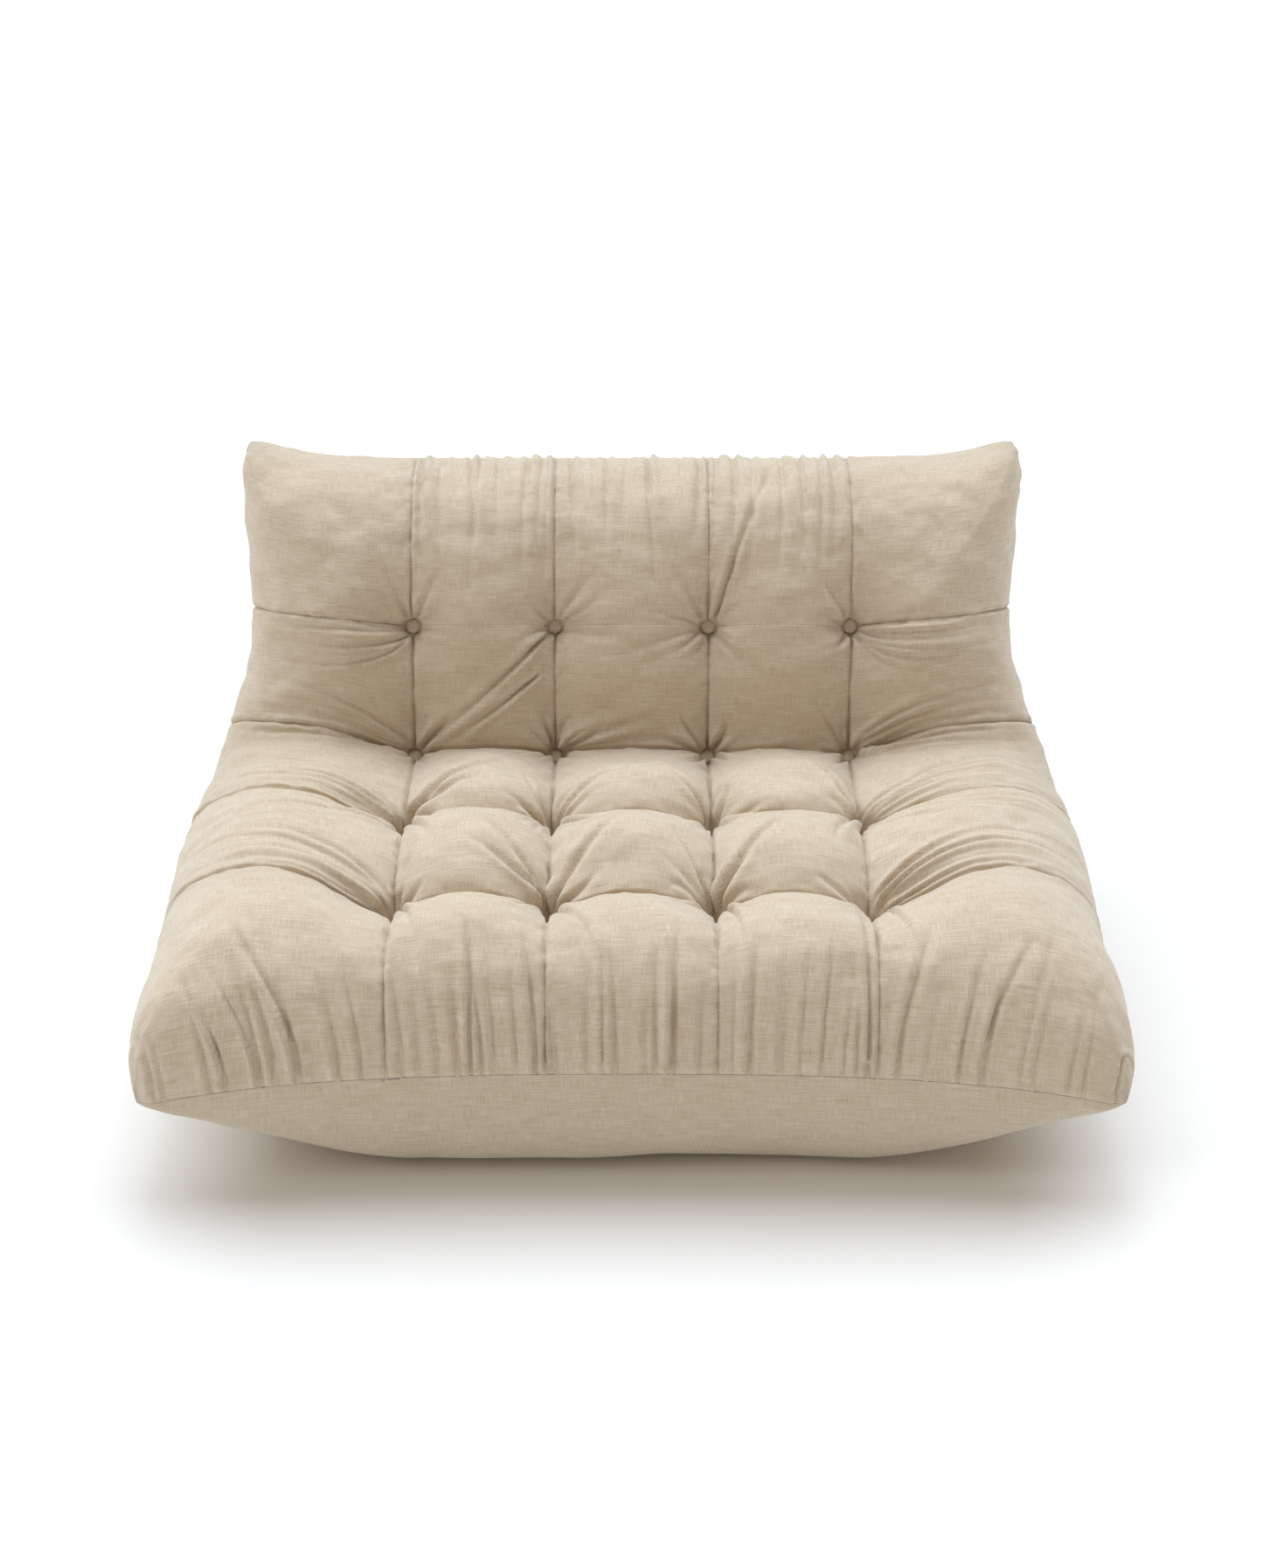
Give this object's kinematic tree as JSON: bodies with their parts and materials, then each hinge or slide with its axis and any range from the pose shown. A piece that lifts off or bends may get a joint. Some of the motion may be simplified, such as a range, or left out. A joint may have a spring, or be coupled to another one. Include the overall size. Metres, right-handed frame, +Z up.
{
  "type": "tufted lounge seat cushion",
  "caption": "Legless floor lounge seat: one wide tufted pillow bent into a seat and a low back, with covered buttons and a rear zip.",
  "frame": {"origin": "on the floor, at the middle of the footprint's box", "axes": "+Z up, the front of the seat faces -Y, +X to the right as seen from the front"},
  "size_m": [1.1916, 0.8946, 0.6276],
  "materials": {
    "quilted_linen": "matte heathered linen, puckered",
    "smooth_linen": "matte heathered linen, smooth",
    "button_linen": "matte linen stretched over a button",
    "base_fabric": "black non-woven with rubber dots",
    "foam": "open-cell foam",
    "wadding": "fibre wadding",
    "plated_wire": "nickel plated",
    "twine": "waxed twine",
    "disc_plastic": "moulded",
    "zip_tape": "woven tape",
    "zip_coil": "nylon coil",
    "zip_metal": "satin nickel"
  },
  "bodies": {
    "cushion": {"pad_front_1": "quilted_linen", "pad_front_2": "quilted_linen", "pad_front_3": "quilted_linen", "pad_front_4": "quilted_linen", "pad_front_5": "quilted_linen", "pad_seat_front_1": "quilted_linen", "pad_seat_front_2": "quilted_linen", "pad_seat_front_3": "quilted_linen", "pad_seat_front_4": "quilted_linen", "pad_seat_front_5": "quilted_linen", "pad_seat_rear_1": "quilted_linen", "pad_seat_rear_2": "quilted_linen", "pad_seat_rear_3": "quilted_linen", "pad_seat_rear_4": "quilted_linen", "pad_seat_rear_5": "quilted_linen", "pad_back_lower_1": "quilted_linen", "pad_back_lower_2": "quilted_linen", "pad_back_lower_3": "quilted_linen", "pad_back_lower_4": "quilted_linen", "pad_back_lower_5": "quilted_linen", "pad_back_upper_1": "quilted_linen", "pad_back_upper_2": "quilted_linen", "pad_back_upper_3": "quilted_linen", "pad_back_upper_4": "quilted_linen", "pad_back_upper_5": "quilted_linen", "underside_cover": "smooth_linen", "rear_cover_lower": "smooth_linen", "rear_cover_upper": "smooth_linen", "buttons_row_1": "button_linen", "buttons_row_2": "button_linen", "buttons_row_3": "button_linen", "buttons_row_4": "button_linen", "base_panel": "base_fabric", "seat_foam": "foam", "back_foam": "foam", "seat_wadding": "wadding", "back_wadding": "wadding", "button_shanks": "plated_wire", "tufting_twine": "twine", "anchor_discs": "disc_plastic", "zip_tape_upper": "zip_tape", "zip_tape_lower": "zip_tape", "zip_coil_upper": "zip_coil", "zip_coil_lower": "zip_coil", "zip_end_stops": "zip_metal"},
    "slider": {"zip_slider": "zip_metal"},
    "pull": {"zip_pull": "zip_metal"}
  },
  "joints": [
    {"name": "zip_slide", "type": "slide", "parent": "cushion", "child": "slider", "axis": [-1, 0, 0], "range_m": [0, 0.6]},
    {"name": "pull_hinge", "type": "hinge", "parent": "slider", "child": "pull", "pos_m": [0.3045, 0.4451, 0.45592], "axis": [0, 0.0608, -0.9982], "range_deg": [0, 180]}
  ]
}
